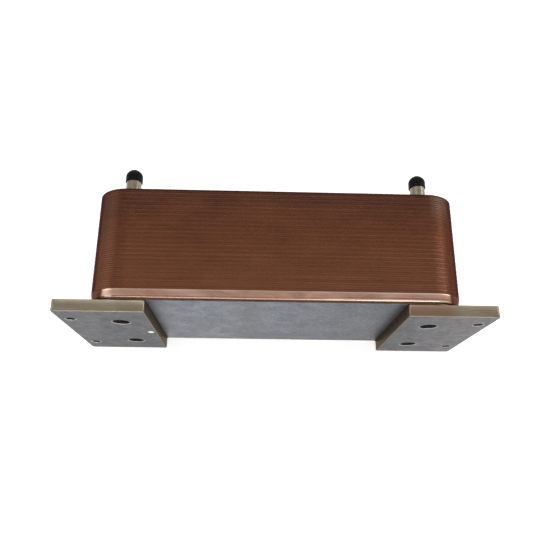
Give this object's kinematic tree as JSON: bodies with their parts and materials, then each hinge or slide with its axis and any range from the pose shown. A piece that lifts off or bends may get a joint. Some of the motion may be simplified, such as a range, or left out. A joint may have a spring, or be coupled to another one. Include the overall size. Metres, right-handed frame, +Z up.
{
  "type": "plate heat exchanger",
  "caption": "Copper-brazed plate heat exchanger: nested channel plates between flat covers, two bored mounting flanges, and two stubs with push-on rubber caps.",
  "frame": {"origin": "centre of the bounding box at its bottom, where the lower long side of the plate pack rests", "axes": "+X along the pack, +Y along the stubs away from the flange faces, +Z up through the upper long side of the pack"},
  "size_m": [0.581, 0.2326, 0.23],
  "materials": {
    "brazed_copper": "stainless sheet with copper braze wash on its rims, dull brown-red",
    "cover_steel": "furnace-grey stainless sheet, mottled",
    "flange_steel": "milled stainless plate, matt after the furnace",
    "stub_steel": "drawn stainless tube, satin",
    "cap_rubber": "matt black moulded rubber"
  },
  "bodies": {
    "brazed_unit": {"channel_plate_01": "brazed_copper", "channel_plate_02": "brazed_copper", "channel_plate_03": "brazed_copper", "channel_plate_04": "brazed_copper", "channel_plate_05": "brazed_copper", "channel_plate_06": "brazed_copper", "channel_plate_07": "brazed_copper", "channel_plate_08": "brazed_copper", "channel_plate_09": "brazed_copper", "channel_plate_10": "brazed_copper", "channel_plate_11": "brazed_copper", "channel_plate_12": "brazed_copper", "channel_plate_13": "brazed_copper", "channel_plate_14": "brazed_copper", "channel_plate_15": "brazed_copper", "channel_plate_16": "brazed_copper", "channel_plate_17": "brazed_copper", "channel_plate_18": "brazed_copper", "channel_plate_19": "brazed_copper", "channel_plate_20": "brazed_copper", "channel_plate_21": "brazed_copper", "channel_plate_22": "brazed_copper", "channel_plate_23": "brazed_copper", "channel_plate_24": "brazed_copper", "channel_plate_25": "brazed_copper", "channel_plate_26": "brazed_copper", "channel_plate_27": "brazed_copper", "channel_plate_28": "brazed_copper", "channel_plate_29": "brazed_copper", "channel_plate_30": "brazed_copper", "channel_plate_31": "brazed_copper", "channel_plate_32": "brazed_copper", "channel_plate_33": "brazed_copper", "channel_plate_34": "brazed_copper", "channel_plate_35": "brazed_copper", "channel_plate_36": "brazed_copper", "channel_plate_37": "brazed_copper", "channel_plate_38": "brazed_copper", "channel_plate_39": "brazed_copper", "channel_plate_40": "brazed_copper", "channel_plate_41": "brazed_copper", "channel_plate_42": "brazed_copper", "channel_plate_43": "brazed_copper", "channel_plate_44": "brazed_copper", "channel_plate_45": "brazed_copper", "channel_plate_46": "brazed_copper", "channel_plate_47": "brazed_copper", "flange_side_cover": "cover_steel", "stub_side_cover": "cover_steel", "mounting_flange_left": "flange_steel", "mounting_flange_right": "flange_steel", "connection_stub_left": "stub_steel", "connection_stub_right": "stub_steel"},
    "left_cap": {"stub_cap_left": "cap_rubber"},
    "right_cap": {"stub_cap_right": "cap_rubber"}
  },
  "joints": [
    {"name": "left_cap_pull", "type": "slide", "parent": "brazed_unit", "child": "left_cap", "axis": [0, 1, 0], "range_m": [0, 0.04]},
    {"name": "right_cap_pull", "type": "slide", "parent": "brazed_unit", "child": "right_cap", "axis": [0, 1, 0], "range_m": [0, 0.04]}
  ]
}
